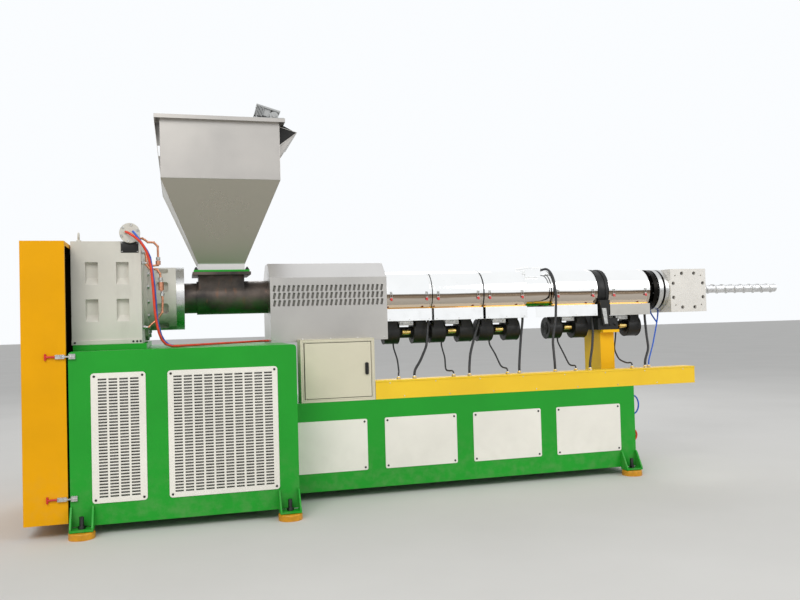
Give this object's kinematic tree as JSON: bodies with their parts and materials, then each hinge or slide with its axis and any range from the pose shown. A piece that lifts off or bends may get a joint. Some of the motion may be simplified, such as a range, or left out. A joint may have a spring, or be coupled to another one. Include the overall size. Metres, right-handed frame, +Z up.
{
  "type": "plastic extruder",
  "caption": "Single-screw plastic extruder with belt guard, gearbox, hopper, air-cooled heated barrel, control cabinet and welded base frames on levelling feet.",
  "frame": {"origin": "on the floor, under the centre of the machine's overall length and the middle of the drive base's depth", "axes": "+X from the belt guard to the screw's discharge end, +Y from the operator side to the rear, +Z up"},
  "size_m": [6.7958, 1.7716, 3.1279],
  "materials": {
    "guard_yellow": "satin powder coat",
    "zinc": "zinc plated",
    "red_plastic": "dipped grip",
    "base_green": "satin paint",
    "foot_yellow": "moulded rubber",
    "grille_white": "satin powder coat",
    "gearbox_grey": "painted casting",
    "copper": "bare copper pipe",
    "machined_steel": "machined",
    "raw_steel": "oiled raw steel",
    "dark_steel": "blackened fasteners",
    "stainless": "satin stainless sheet",
    "motor_grey": "cast aluminium",
    "mirror_steel": "mirror polished stainless sheet",
    "black_paint": "satin black",
    "chromed_screw": "polished screw",
    "trunking_yellow": "satin powder coat",
    "cabinet_beige": "fine texture powder coat",
    "black_plastic": "moulded",
    "cable_black": "flexible conduit",
    "hose_red": "smooth hose",
    "hose_blue": "smooth hose"
  },
  "bodies": {
    "machine": {"belt_guard": "guard_yellow", "clamp_bodies": "zinc", "clamp_handles": "red_plastic", "drive_base": "base_green", "foot_brackets": "base_green", "foot_studs": "dark_steel", "levelling_feet": "foot_yellow", "narrow_grilles": "grille_white", "wide_grilles": "grille_white", "gearbox_plate": "base_green", "gearbox": "gearbox_grey", "lube_pump": "gearbox_grey", "oil_pipes": "copper", "lantern": "gearbox_grey", "lantern_ring": "machined_steel", "feed_barrel": "raw_steel", "hopper_flange": "base_green", "hopper": "stainless", "feed_lip": "stainless", "hopper_unit": "motor_grey", "terminal_cover": "stainless", "heated_barrel": "raw_steel", "heater_cover_1": "mirror_steel", "heater_cover_2": "mirror_steel", "heater_cover_3": "mirror_steel", "heater_cover_4": "mirror_steel", "heater_cover_5": "mirror_steel", "vent_cover": "mirror_steel", "blower_ducts": "mirror_steel", "blower_1": "black_paint", "blower_2": "black_paint", "blower_3": "black_paint", "blower_4": "black_paint", "blower_5": "black_paint", "barrel_clamp": "black_paint", "joint_rings": "machined_steel", "discharge_block": "machined_steel", "barrel_post": "guard_yellow", "long_base": "base_green", "base_panels": "grille_white", "cable_trunking": "trunking_yellow", "control_cabinet": "cabinet_beige", "blower_cables": "cable_black", "red_hose": "hose_red", "blue_hose": "hose_blue"},
    "cabinet_door": {"cabinet_door": "cabinet_beige", "door_handle": "black_plastic"},
    "screw": {"extruder_screw": "chromed_screw"}
  },
  "joints": [
    {"name": "cabinet_door_hinge", "type": "hinge", "parent": "machine", "child": "cabinet_door", "pos_m": [-1.41365, -0.27, 1.0203], "axis": [0, 0, 1], "range_deg": [-100, 0]},
    {"name": "screw_spin", "type": "hinge", "parent": "machine", "child": "screw", "pos_m": [2.44395, 0.15, 1.63], "axis": [1, 0, 0], "continuous": true}
  ]
}
